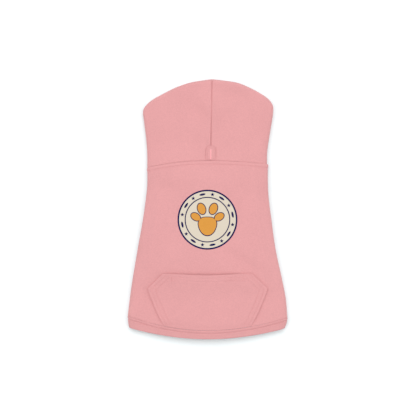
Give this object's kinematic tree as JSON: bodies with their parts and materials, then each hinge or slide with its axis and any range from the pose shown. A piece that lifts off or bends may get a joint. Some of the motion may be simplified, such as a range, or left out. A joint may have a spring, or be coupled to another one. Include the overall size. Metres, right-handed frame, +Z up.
{
  "type": "pet hoodie",
  "caption": "Dog hoodie of pink sweatshirt fleece lying flat, back upwards, with a spread hood, a leash slit, a back pocket, short ribbed sleeves and a hem band.",
  "frame": {"origin": "on the surface that the garment lies on, below the middle of its outline", "axes": "+X across the garment to the right seen from above, +Y from the hem towards the crown of the hood, +Z up from the surface"},
  "size_m": [0.303, 0.493, 0.0354],
  "materials": {
    "fleece": "brushed sweatshirt fleece, matt",
    "hem_fleece": "sweatshirt fleece turned up double, twin-needle stitched",
    "pocket_fleece": "sweatshirt fleece, twin-needle stitched",
    "patch_fleece": "sweatshirt fleece with a satin-stitched slit",
    "ribbing": "knitted rib"
  },
  "bodies": {
    "root": {"back_panel": "fleece", "belly_panel": "fleece", "hem_band": "hem_fleece", "hood_left": "fleece", "hood_right": "fleece", "leash_patch": "patch_fleece", "pocket": "pocket_fleece", "sleeve_left": "fleece", "sleeve_right": "fleece", "cuff_left": "ribbing", "cuff_right": "ribbing"}
  },
  "joints": []
}
